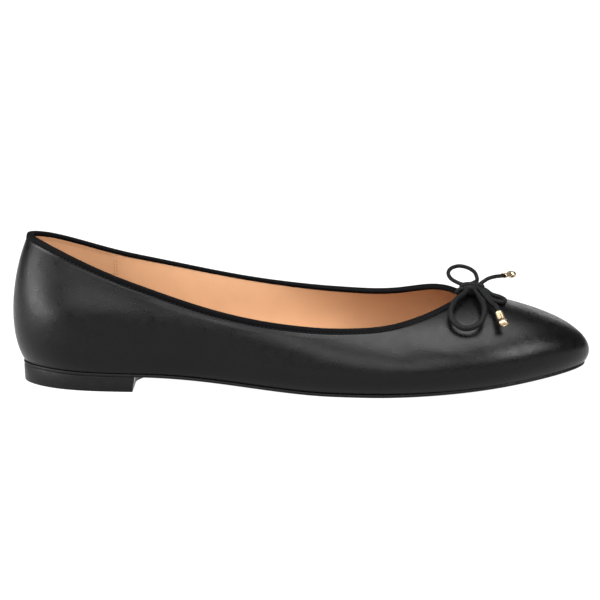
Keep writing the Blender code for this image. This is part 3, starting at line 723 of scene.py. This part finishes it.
def sew_lining(sizes, colours):
    """The two rows of stitches beside the lining's seam, on each side of the shoe."""
    finish = thread_finish("tan_thread", [v * THREAD_SHADE for v in colours.lining])
    share = np.arange(SEAM_LOW, SEAM_HIGH, sizes.seam_pitch / (COLLAR_HEIGHT * SEAM_RISE))
    for side, (first, last) in SEAM_SIDES.items():
        sections = np.linspace(first, last, SEAM_TRIES)
        reached = wall_at(sections[:, None], share, UPPER_WALL)[:, :, 0]
        centres, ups, outs = [], [], []
        for offset in SEAM_ROWS:
            at = sizes.seam_place + offset
            place = np.array([np.interp(at, reached[:, k], sections) for k in range(len(share))])
            centre = wall_at(place, share, UPPER_WALL + THREAD_DEPTH)
            centres.append(centre)
            ups.append(np.gradient(centre, axis=0))
            outs.append(wall_at(place, share, UPPER_WALL + 0.001) - wall_at(place, share, UPPER_WALL))
        stitch_row(f"counter_stitches_{side}", np.concatenate(centres), np.concatenate(ups),
                   np.concatenate(outs), sizes.stitch_length * SEAM_STITCH, sizes.stitch_radius, finish,
                   "insole")


def build_stitches(sizes, colours):
    """The stitches of the binding and of the lining's seam."""
    sew_collar(sizes, colours)
    sew_lining(sizes, colours)


def plan_at(height, depth):
    """Plan of the wall at a height above the seat, depth below its outer face."""
    cut = round(WALL_SHARES * LOW_WALL)
    inside = (WALL - NORMALS * depth)[:, :cut]
    above = inside[:, :, 2] - seat_at(inside[:, :, 0])
    k = np.clip((above < height).sum(axis=1), 1, cut - 1)
    row = np.arange(SECTIONS)
    share = (height - above[row, k - 1]) / (above[row, k] - above[row, k - 1])
    share = np.clip(share, 0.0, 1.0)[:, None]
    return ((1.0 - share) * inside[row, k - 1] + share * inside[row, k])[:, :2]


def offset_loop(loop, distance):
    """A plan loop moved outwards by a distance."""
    flat = np.column_stack([loop, np.zeros(len(loop))])
    return loop + distance * outward(flat)[:, :2]


def ribs_of(loop, front=None):
    """A plan loop as ribs across the shoe, closer together at its ends: x, outer y and inner y."""
    turned = np.roll(loop, -int(np.argmin(loop[:, 0])), axis=0)
    tip = int(np.argmax(turned[:, 0]))
    outer = turned[: tip + 1]
    inner = np.concatenate([turned[tip:], turned[:1]])[::-1]
    share = np.linspace(0.0, math.pi / 2.0, SLAB_RIBS + 1)
    start, end = outer[0, 0], outer[-1, 0]
    if front is None:
        middle = (start + end) / 2.0
        x = np.concatenate([start + (middle - start) * (1.0 - np.cos(share)),
                            middle + (end - middle) * np.sin(share[1:])])
    else:
        x = start + (front - start) * (1.0 - np.cos(share))
    return x, np.interp(x, outer[:, 0], outer[:, 1]), np.interp(x, inner[:, 0], inner[:, 1])


def slab_points(rings, skew=0.0, crown=None):
    """A slab as one closed section for each rib: up the outer edge, across the top, down the inner edge and
    back across the bottom. rings give (ribs, height) from the lowest to the highest."""
    outer, inner = [], []
    for (x, low, high), height in rings:
        inner_x = x + skew * smooth_step((x - x[0]) / (x[-1] - x[0]) * 2.0 - 1.0)
        outer.append(np.stack([x, low, height(x)], axis=1))
        inner.append(np.stack([inner_x, high, height(inner_x)], axis=1))
    share = (np.arange(1, ACROSS) / ACROSS)[None, :, None] * np.ones(3)
    if skew:
        share[:, :, 0] = smooth_step((share[:, :, 0] - STEP_START) / STEP_SPAN)
    top = outer[-1][:, None] * (1.0 - share) + inner[-1][:, None] * share
    bottom = inner[0][:, None] * share[:, ::-1] + outer[0][:, None] * (1.0 - share[:, ::-1])
    if crown is not None:
        top[:, :, 2] += crown(share[:, :, 1])
    return np.concatenate([np.stack(outer, axis=1), top, np.stack(inner[::-1], axis=1), bottom], axis=1)


def build_insole(sizes, colours):
    """The sock: a slab with a rounded rim that fills the lining from side to side, hollow along its middle."""
    rings = []
    for level, drawn in SOCK_RIM:
        height = SEAM_GAP + INSOLE_THICKNESS * level
        plan = offset_loop(plan_at(height, UPPER_WALL + SOCK_GAP), -drawn)
        rings.append((ribs_of(plan), lambda x, height=height: seat_at(x) + height))

    def crown(share):
        """A shallow hollow across the shoe: a sine over the width, deepest along its middle."""
        return -sizes.sock_hollow * np.sin(math.pi * share)

    points = slab_points(rings, crown=crown)
    finish = leather_finish("tan_sock", colours.sock)
    add_grid("insole_sock", points, finish, "insole", merge=SLAB_MERGE, nodes=("insole",))


def build_sole(sizes, colours):
    """Outsole and heel: slabs on the feather edge's plan, their rims rounded ring by ring."""
    finish = rubber_finish("black_sole", colours.sole)
    foot = WALL[:, 0, :2]
    reveal = SOLE_REVEAL - sizes.toe_reveal * smooth_step((foot[:, :1] - REVEAL_START) / REVEAL_SPAN)
    edge = offset_loop(foot, reveal)
    rings = []
    for level, drawn in OUTSOLE_RIM:
        plan = ribs_of(offset_loop(edge, -drawn))
        rings.append((plan, lambda x, level=level: seat_at(x) - SOLE_THICKNESS * (1.0 - level)))
    add_grid("outsole_layer", slab_points(rings), finish, "outsole", merge=SLAB_MERGE, nodes=("outsole",))

    seat = offset_loop(foot, SOLE_REVEAL - SOLE_BEVEL * HEEL_INSET)
    breast = seat[:, 0].min() + HEEL_LENGTH
    rings = []
    for level, drawn in HEEL_RIM:
        taper = HEEL_TAPER * (1.0 - level)
        plan = ribs_of(offset_loop(seat, -drawn - taper), breast + BREAST_RAKE * level)
        rings.append((plan, lambda x, level=level: (seat_at(x) - SOLE_THICKNESS - HEEL_GAP) * level))
    points = slab_points(rings, skew=BREAST_SKEW)
    caps = breast_faces(points, len(rings))
    add_grid("heel_block", points, finish, "heel", caps=caps, merge=SLAB_MERGE, nodes=("heel",))


def breast_faces(points, height):
    """Faces that close a slab at its last rib: a strip down each side and quads between its top and bottom."""
    ring = points.shape[1]
    last = (len(points) - 1) * ring
    column = np.arange(ACROSS + 1)
    top = last + height - 1 + column
    low = last + (ring + 1 - column) % ring
    quads = [[low[k], top[k], top[k + 1], low[k + 1]] for k in range(1, ACROSS - 1)]
    outer_strip = [*(last + np.arange(height)), top[1], low[1]]
    inner_strip = [*(top[-1] + np.arange(height)), low[-2], top[-2]]
    return [[int(k) for k in face] for face in (*quads, outer_strip, inner_strip)]


def bow_middle():
    """Middle of the bow, over the throat."""
    throat = WALL[TOE_TIP_ROW * SECTION_STEPS, -1]
    return np.array([throat[0] + BOW_FORWARD, -CENTRE[1], throat[2] + BOW_LIFT])


def tube(path, radius, reference, flat=1.0):
    """A round section carried along a path. Its side is the reference crossed with the path's direction, and
    flat narrows it along the other axis. The rounded ends close in three rings."""
    along = unit(np.gradient(path, axis=0))
    side = unit(np.cross(np.broadcast_to(reference, along.shape), along))
    other = np.cross(along, side)
    radius = np.broadcast_to(radius, len(path))
    start = path[0] - along[0] * END_REACH[:, None] * radius[0]
    finish = path[-1] + along[-1] * END_REACH[:, None] * radius[-1]
    path = np.concatenate([start[:0:-1], path, finish[1:]])
    size = np.concatenate([radius[0] * END_SIZES[:0:-1], radius, radius[-1] * END_SIZES[1:]])
    ends = ((len(END_SIZES) - 1,) * 2, (0, 0))
    side, other = np.pad(side, ends, "edge"), np.pad(other, ends, "edge")
    angle = np.arange(CORD_SIDES) * 2.0 * math.pi / CORD_SIDES
    ring = np.cos(angle)[:, None] * side[:, None, :] + flat * np.sin(angle)[:, None] * other[:, None, :]
    points = path[:, None, :] + size[:, None, None] * ring
    run = np.concatenate([[0.0], np.cumsum(np.linalg.norm(np.diff(path, axis=0), axis=1))])
    return points, grid_uv(np.arange(CORD_SIDES) / CORD_SIDES, run / CORD_WIDTH)


def grid_uv(round_it, along):
    """UV map of a grid: u from a row of values round it, v from a column of values along it."""
    return np.stack(np.broadcast_arrays(round_it, along[:, None]), axis=-1)


def build_bow(sizes, colours):
    """The bow: three lengths of one round cord through the knot, the wraps round it, and two metal tips."""
    finish = cord_finish("black_cord", colours.cord)
    metal = metal_finish("gold_tip", colours.metal)
    middle = bow_middle()
    for name, rows in (("aglet_lateral", LATERAL_END), ("aglet_medial", MEDIAL_END)):
        path = open_spline(np.array(rows) * BOW_UNIT + middle, CORD_STEP)
        build_tip(name, path, metal)
    for name, rows in CORD_ROUTES.items():
        path = open_spline(np.array(rows) * BOW_UNIT + middle, CORD_STEP)
        girth = np.interp(np.linspace(0.0, 1.0, len(path)), GIRTH_CHANGE, CORD_GIRTH[name])
        points, uv = tube(path, CORD_WIDTH / 2.0 * girth, (0.0, 0.0, 1.0))
        cord = add_grid(name, points, finish, "cord", uv=uv, merge=MERGE, nodes=CORD_NODES[name])
    knot = middle + [sizes.knot_forward, 0.0, sizes.knot_lift]
    build_knot_core(sizes, finish, knot)
    build_knot_wraps(sizes, finish, knot)


def build_knot_wraps(sizes, finish, knot):
    """The wraps: a tail up to the knot, then turns round it on squared-off ovals that move sideways."""
    turn = np.linspace(-0.5 * math.pi, (2.0 * WRAP_TURNS - 0.5) * math.pi, WRAP_POINTS)
    whole = 2.0 * WRAP_TURNS * math.pi
    path = np.stack([
        knot[0] + sizes.knot_half * squared(np.cos(turn), WRAP_POWER),
        knot[1] + WRAP_ADVANCE * (turn / whole - WRAP_BACK) + WRAP_SWAY * np.sin(turn),
        knot[2] + WRAP_HALF_HEIGHT * squared(np.sin(turn), WRAP_POWER),
    ], axis=1)
    path = np.concatenate([open_spline(knot + KNOT_TAIL, CORD_STEP), path[2:]])
    points, uv = tube(path, WRAP_RADIUS, (0.0, 1.0, 0.0), flat=WRAP_FLATNESS)
    add_grid("bow_knot_wraps", points, finish, "cord", uv=uv, merge=MERGE, nodes=("bow_knot",))


def build_knot_core(sizes, finish, knot):
    """The cord folded inside the wraps: an ellipsoid whose sines and cosines are raised to a low power."""
    lat = np.linspace(-0.5 * math.pi, 0.5 * math.pi, CORE_RINGS)[:, None]
    lon = np.arange(CORE_SIDES) * 2.0 * math.pi / CORE_SIDES
    sine, cosine = squared(np.sin(lat), CORE_POWER), squared(np.cos(lat), CORE_POWER)
    points = np.stack([
        knot[0] + (sizes.knot_half + CORE_PAST_WRAPS) * sine * np.ones_like(lon),
        knot[1] + CORE_HALF_WIDTH * cosine * squared(np.cos(lon), CORE_POWER),
        knot[2] - CORE_DROP + CORE_HALF_HEIGHT * cosine * squared(np.sin(lon), CORE_POWER),
    ], axis=-1)
    uv = grid_uv(np.arange(CORE_SIDES) / CORE_SIDES, np.linspace(0.0, CORE_STRANDS, CORE_RINGS))
    add_grid("bow_knot_core", points, finish, "cord", uv=uv, merge=MERGE)


def build_tip(name, path, finish):
    """A metal tip: its outline turned about the cord's end, with lengthwise flutes pressed into its neck.

    The radius is the outline's, less the flute depth times a half cosine round it, raised to a power. The
    whole is pressed flat, the neck more than the bead.
    """
    axis = unit(path[-1] - path[-3])
    side = unit(np.cross(axis, [0.0, 0.0, 1.0]))
    other = np.cross(axis, side)
    run = np.concatenate([[0.0], np.cumsum(np.linalg.norm(np.diff(TIP_OUTLINE, axis=0), axis=1))])
    at = np.linspace(0.0, run[-1], TIP_RINGS)
    along = np.interp(at, run, TIP_OUTLINE[:, 0])
    radius = np.interp(at, run, TIP_OUTLINE[:, 1])
    angle = np.arange(TIP_SIDES) * 2.0 * math.pi / TIP_SIDES
    reach = smooth_step((along - FLUTE_START) / FLUTE_FADE) * smooth_step((FLUTE_END - along) / FLUTE_FADE)
    reach = reach * smooth_step((radius - FLUTE_RADIUS) / FLUTE_EDGE)
    groove = (0.5 + 0.5 * np.cos(angle * FLUTES)) ** 2
    radius = radius[:, None] * (1.0 - FLUTE_DEPTH * reach[:, None] * groove)
    flatness = NECK_FLATNESS + (TIP_FLATNESS - NECK_FLATNESS) * smooth_step((along - BEAD_START) / BEAD_SPAN)
    ring = np.cos(angle)[:, None] * side + flatness[:, None, None] * np.sin(angle)[:, None] * other
    start = path[-1] + axis * TIP_GAP
    points = start + along[:, None, None] * TIP_LENGTH * axis + TIP_DIAMETER * radius[:, :, None] * ring
    return add_grid(f"{name}_fluted", points, finish, "tip", merge=MERGE, nodes=(name,))


def add_to_stage(name, data, place=(0.0, 0.0, 0.0), target=None):
    """Object of the stage, turned so that it looks at a target where it has one."""
    thing = bpy.data.objects.new(name, data)
    if target is not None:
        thing.location = place
        thing.rotation_euler = (Vector(target) - Vector(place)).to_track_quat("-Z", "Y").to_euler()
    bpy.context.scene.collection.objects.link(thing)
    return thing


def build_stage(sizes, colours):
    """Camera, soft lights and a wide pale floor."""
    scene = bpy.context.scene
    along = Vector((
        -math.sin(CAMERA_AZIMUTH) * math.cos(CAMERA_ELEVATION),
        -math.cos(CAMERA_AZIMUTH) * math.cos(CAMERA_ELEVATION),
        math.sin(CAMERA_ELEVATION),
    ))
    lens = bpy.data.cameras.new("photo_camera")
    lens.sensor_width = SENSOR
    lens.lens = SENSOR * CAMERA_DISTANCE / (METRES_PER_PIXEL * PICTURE_WIDTH)
    lens.clip_start = NEAR_CLIP
    place = Vector(CAMERA_TARGET) + along * CAMERA_DISTANCE
    scene.camera = add_to_stage("photo_camera", lens, place, CAMERA_TARGET)
    scene.view_settings.view_transform = "Standard"

    world = bpy.data.worlds.new("studio")
    world.use_nodes = True
    world.node_tree.nodes["Background"].inputs["Color"].default_value = (1.0, 1.0, 1.0, 1.0)
    world.node_tree.nodes["Background"].inputs["Strength"].default_value = sizes.surround
    scene.world = world
    sun = bpy.data.lights.new("overhead", "SUN")
    sun.angle = SUN_SPREAD
    sun.energy = sizes.overhead
    add_to_stage("overhead", sun)
    for name, (place, size) in SOFT_BOXES.items():
        light = bpy.data.lights.new(name, "AREA")
        light.shape = "RECTANGLE"
        light.size, light.size_y = size
        light.energy = getattr(sizes, name)
        add_to_stage(name, light, place, CAMERA_TARGET).visible_camera = False
    build_floor(sizes, colours)


def build_floor(sizes, colours):
    """The floor: a wide flat grid with its own even light."""
    side = np.linspace(-FLOOR_REACH, FLOOR_REACH, FLOOR_LINES)
    x, y = np.meshgrid(side, side, indexing="ij")
    points = np.stack([x, y, np.zeros_like(x)], axis=-1)
    finish = Finish("pale_floor", colours.floor, 0.85)
    finish.shader.inputs["Emission Color"].default_value = (1.0, 1.0, 1.0, 1.0)
    finish.shader.inputs["Emission Strength"].default_value = sizes.floor_glow
    finish.bump(finish.noise(0.004, detail=2.0), 0.00002)
    mesh = bpy.data.meshes.new("floor")
    mesh.from_pydata(points.reshape(-1, 3).tolist(), [], faces_of(*points.shape[:2], False, False).tolist())
    mesh.shade_smooth()
    mesh.materials.append(finish.material)
    add_to_stage("floor", mesh)


def length(name, description, default):
    """A size in metres."""
    return FloatProperty(name=name, description=description, default=default, unit="LENGTH", precision=5)


def strength(name, description, default):
    """A plain number."""
    return FloatProperty(name=name, description=description, default=default)


def power(name, description, default):
    """A light's power in watts."""
    return FloatProperty(name=name, description=description, default=default, unit="POWER")


def colour(name, description, default):
    """A linear colour."""
    return FloatVectorProperty(name=name, description=description, default=default, subtype="COLOR", size=3,
                               min=0.0, max=1.0)


class ShoeSizes(bpy.types.PropertyGroup):
    """Sizes of the dressed shoe that the solids don't hold."""

    leather: length("Leather", "Thickness of the upper's leather", 0.0010)
    crease: strength("Creases", "Share of the creases' own depth", 1.0)
    lap: length("Lap", "Step where the lining's front part covers the heel part", 0.0003)
    seam_place: length("Lining seam", "Where the lining's seam stands along the shoe", -0.0851)
    seam_pitch: length("Seam pitch", "Distance between two stitches of the lining's seam", 0.0017)
    lip: length("Lip", "How far the lining stands up behind the binding", 0.0015)
    binding_cut: length("Binding cut", "How much shorter the binding is inside than outside", 0.0011)
    binding_press: length("Binding press", "How far its lower outer edge is pressed in", 0.0003)
    stitch_up: length("Stitch height", "Stitches above the binding's lower edge", 0.0005)
    stitch_pitch: length("Stitch pitch", "Distance between two collar stitches", 0.0019)
    stitch_length: length("Stitch length", "Length of one collar stitch", 0.0013)
    stitch_radius: length("Stitch radius", "Half the thread's thickness", 0.00016)
    sock_hollow: length("Sock hollow", "How far the insole's middle lies below its rim", 0.0006)
    toe_reveal: length("Toe reveal", "How much less of the sole's edge shows at the toe", 0.0005)
    knot_forward: length("Knot forward", "The knot's middle, ahead of the bow's", 0.0010)
    knot_lift: length("Knot lift", "The knot's middle, above the bow's", 0.0002)
    knot_half: length("Knot half length", "Half the length of the wraps' centre line", 0.0046)
    surround: strength("Surround", "Strength of the light all round", 0.08)
    overhead: strength("Overhead", "Even light from above", 1.2)
    vamp_box: power("Vamp light", "Soft box above the vamp", 17.5)
    front_box: power("Front light", "Wide low soft box in front", 15.0)
    heel_low: power("Low heel light", "Low strip behind the heel's outer side", 4.4)
    heel_high: power("High heel light", "Small box behind the heel", 1.6)
    rear_box: power("Rear light", "Soft box above the heel, for the lining", 12.0)
    toe_box: power("Toe light", "Soft box before the toe", 5.5)
    rim_box: power("Rim light", "Strip behind the toe, along the vamp's top line", 0.6)
    floor_glow: strength("Floor glow", "Own light of the floor", 1.0)


class ShoeColours(bpy.types.PropertyGroup):
    """Colours of the shoe's finishes."""

    leather: colour("Leather", "The upper's leather", (0.0018, 0.0018, 0.0020))
    binding: colour("Binding", "The collar's binding", (0.0014, 0.0014, 0.0018))
    lining: colour("Lining", "The lining's leather", (0.47, 0.26, 0.137))
    sock: colour("Sock", "The insole's leather", (0.34, 0.19, 0.115))
    sole: colour("Sole", "Outsole and heel", (0.0040, 0.0040, 0.0042))
    thread: colour("Thread", "The collar's stitches", (0.0030, 0.0030, 0.0034))
    cord: colour("Cord", "The bow's cord", (0.0026, 0.0026, 0.0029))
    metal: colour("Metal", "The cord's tips", (0.48, 0.36, 0.225))
    floor: colour("Floor", "The floor", (0.06, 0.06, 0.06))


class PieceOperator:
    """What the operators share: each builds its own pieces from the scene's sizes and colours."""

    bl_options = {"REGISTER", "UNDO"}

    def execute(self, context):
        self.make(context.scene.flat_sizes, context.scene.flat_colours)
        return {"FINISHED"}


class FLAT_OT_stage(PieceOperator, bpy.types.Operator):
    """Set up the camera, the lights and the floor"""

    bl_idname = "flat.stage"
    bl_label = "Stage"
    make = staticmethod(build_stage)


class FLAT_OT_bow(PieceOperator, bpy.types.Operator):
    """Tie the cord bow and put on its metal tips"""

    bl_idname = "flat.bow"
    bl_label = "Bow"
    make = staticmethod(build_bow)


class FLAT_OT_upper(PieceOperator, bpy.types.Operator):
    """Last the leather upper"""

    bl_idname = "flat.upper"
    bl_label = "Upper"
    make = staticmethod(build_upper)


class FLAT_OT_lining(PieceOperator, bpy.types.Operator):
    """Line the upper"""

    bl_idname = "flat.lining"
    bl_label = "Lining"
    make = staticmethod(build_lining)


class FLAT_OT_binding(PieceOperator, bpy.types.Operator):
    """Bind the collar"""

    bl_idname = "flat.binding"
    bl_label = "Binding"
    make = staticmethod(build_binding)


class FLAT_OT_stitches(PieceOperator, bpy.types.Operator):
    """Sew the binding and the lining's seam"""

    bl_idname = "flat.stitches"
    bl_label = "Stitches"
    make = staticmethod(build_stitches)


class FLAT_OT_insole(PieceOperator, bpy.types.Operator):
    """Lay in the insole's sock"""

    bl_idname = "flat.insole"
    bl_label = "Insole"
    make = staticmethod(build_insole)


class FLAT_OT_sole(PieceOperator, bpy.types.Operator):
    """Put on the outsole and the heel"""

    bl_idname = "flat.sole"
    bl_label = "Sole and heel"
    make = staticmethod(build_sole)


PIECES = (FLAT_OT_stage, FLAT_OT_bow, FLAT_OT_upper, FLAT_OT_lining, FLAT_OT_binding, FLAT_OT_stitches,
          FLAT_OT_insole, FLAT_OT_sole)


class FLAT_PT_pieces(bpy.types.Panel):
    """The shoe's pieces, in the order that they are made"""

    bl_idname = "FLAT_PT_pieces"
    bl_label = "Ballet flat"
    bl_space_type = "VIEW_3D"
    bl_region_type = "UI"
    bl_category = "Ballet flat"

    def draw(self, context):
        for piece in PIECES:
            self.layout.operator(piece.bl_idname)
        for group in (context.scene.flat_sizes, context.scene.flat_colours):
            column = self.layout.column(align=True)
            for name in group.__annotations__:
                column.prop(group, name)


CLASSES = (ShoeSizes, ShoeColours, *PIECES, FLAT_PT_pieces)


def register():
    """Register the classes and hang their settings on the scene."""
    for item in CLASSES:
        bpy.utils.register_class(item)
    bpy.types.Scene.flat_sizes = PointerProperty(type=ShoeSizes)
    bpy.types.Scene.flat_colours = PointerProperty(type=ShoeColours)


def unregister():
    """Take the settings and the classes away again."""
    del bpy.types.Scene.flat_colours
    del bpy.types.Scene.flat_sizes
    for item in reversed(CLASSES):
        bpy.utils.unregister_class(item)


def main():
    """Make the pieces in order."""
    register()
    bpy.ops.flat.stage()
    bpy.ops.flat.bow()
    bpy.ops.flat.upper()
    bpy.ops.flat.lining()
    bpy.ops.flat.binding()
    bpy.ops.flat.stitches()
    bpy.ops.flat.insole()
    bpy.ops.flat.sole()


if __name__ == "__main__":
    main()
